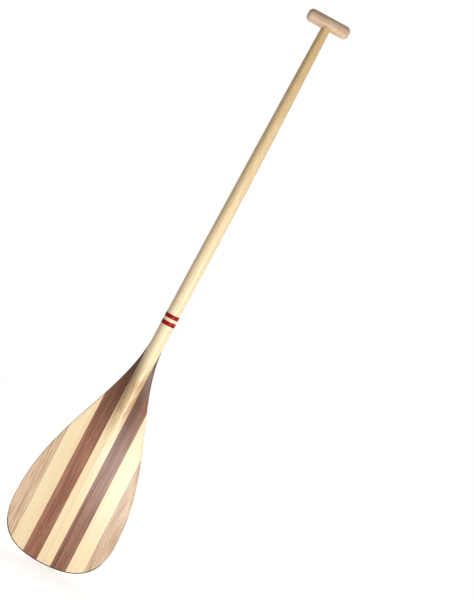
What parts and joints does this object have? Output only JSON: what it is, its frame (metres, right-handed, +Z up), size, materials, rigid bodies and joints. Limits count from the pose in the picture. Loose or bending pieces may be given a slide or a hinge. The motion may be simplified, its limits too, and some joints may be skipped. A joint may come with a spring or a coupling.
{
  "type": "bent shaft canoe paddle",
  "caption": "Laminated bent shaft canoe paddle with a striped teardrop blade, a dark tip guard, red shaft bands and a lift-off T grip.",
  "frame": {"origin": "on the middle line of the shaft, halfway up its straight middle stretch, where the lower hand or a rack clip holds it", "axes": "+Z up from the blade's tip to the T grip along the line that joins them, +X across the blade, +Y the way the flat power face looks"},
  "size_m": [0.244, 0.0893, 1.3153],
  "materials": {
    "basswood": "gloss varnish",
    "walnut": "gloss varnish",
    "cedar": "gloss varnish",
    "grip_wood": "oiled",
    "band_red": "satin",
    "tip_resin": "gloss"
  },
  "bodies": {
    "paddle": {"shaft_layer_1": "basswood", "shaft_layer_2": "basswood", "shaft_layer_3": "basswood", "shaft_layer_4": "basswood", "shaft_layer_5": "basswood", "shaft_layer_6": "basswood", "shaft_layer_7": "basswood", "walnut_strip_left": "walnut", "walnut_strip_right": "walnut", "basswood_strip_left": "basswood", "basswood_strip_right": "basswood", "cedar_edge_strip_left": "cedar", "cedar_edge_strip_right": "cedar", "tip_guard": "tip_resin", "lower_band": "band_red", "upper_band": "band_red"},
    "grip": {"t_grip": "grip_wood"}
  },
  "joints": [
    {"name": "grip_lift", "type": "slide", "parent": "paddle", "child": "grip", "axis": [0, -0.0326, 0.9995], "range_m": [0, 0.03]}
  ]
}
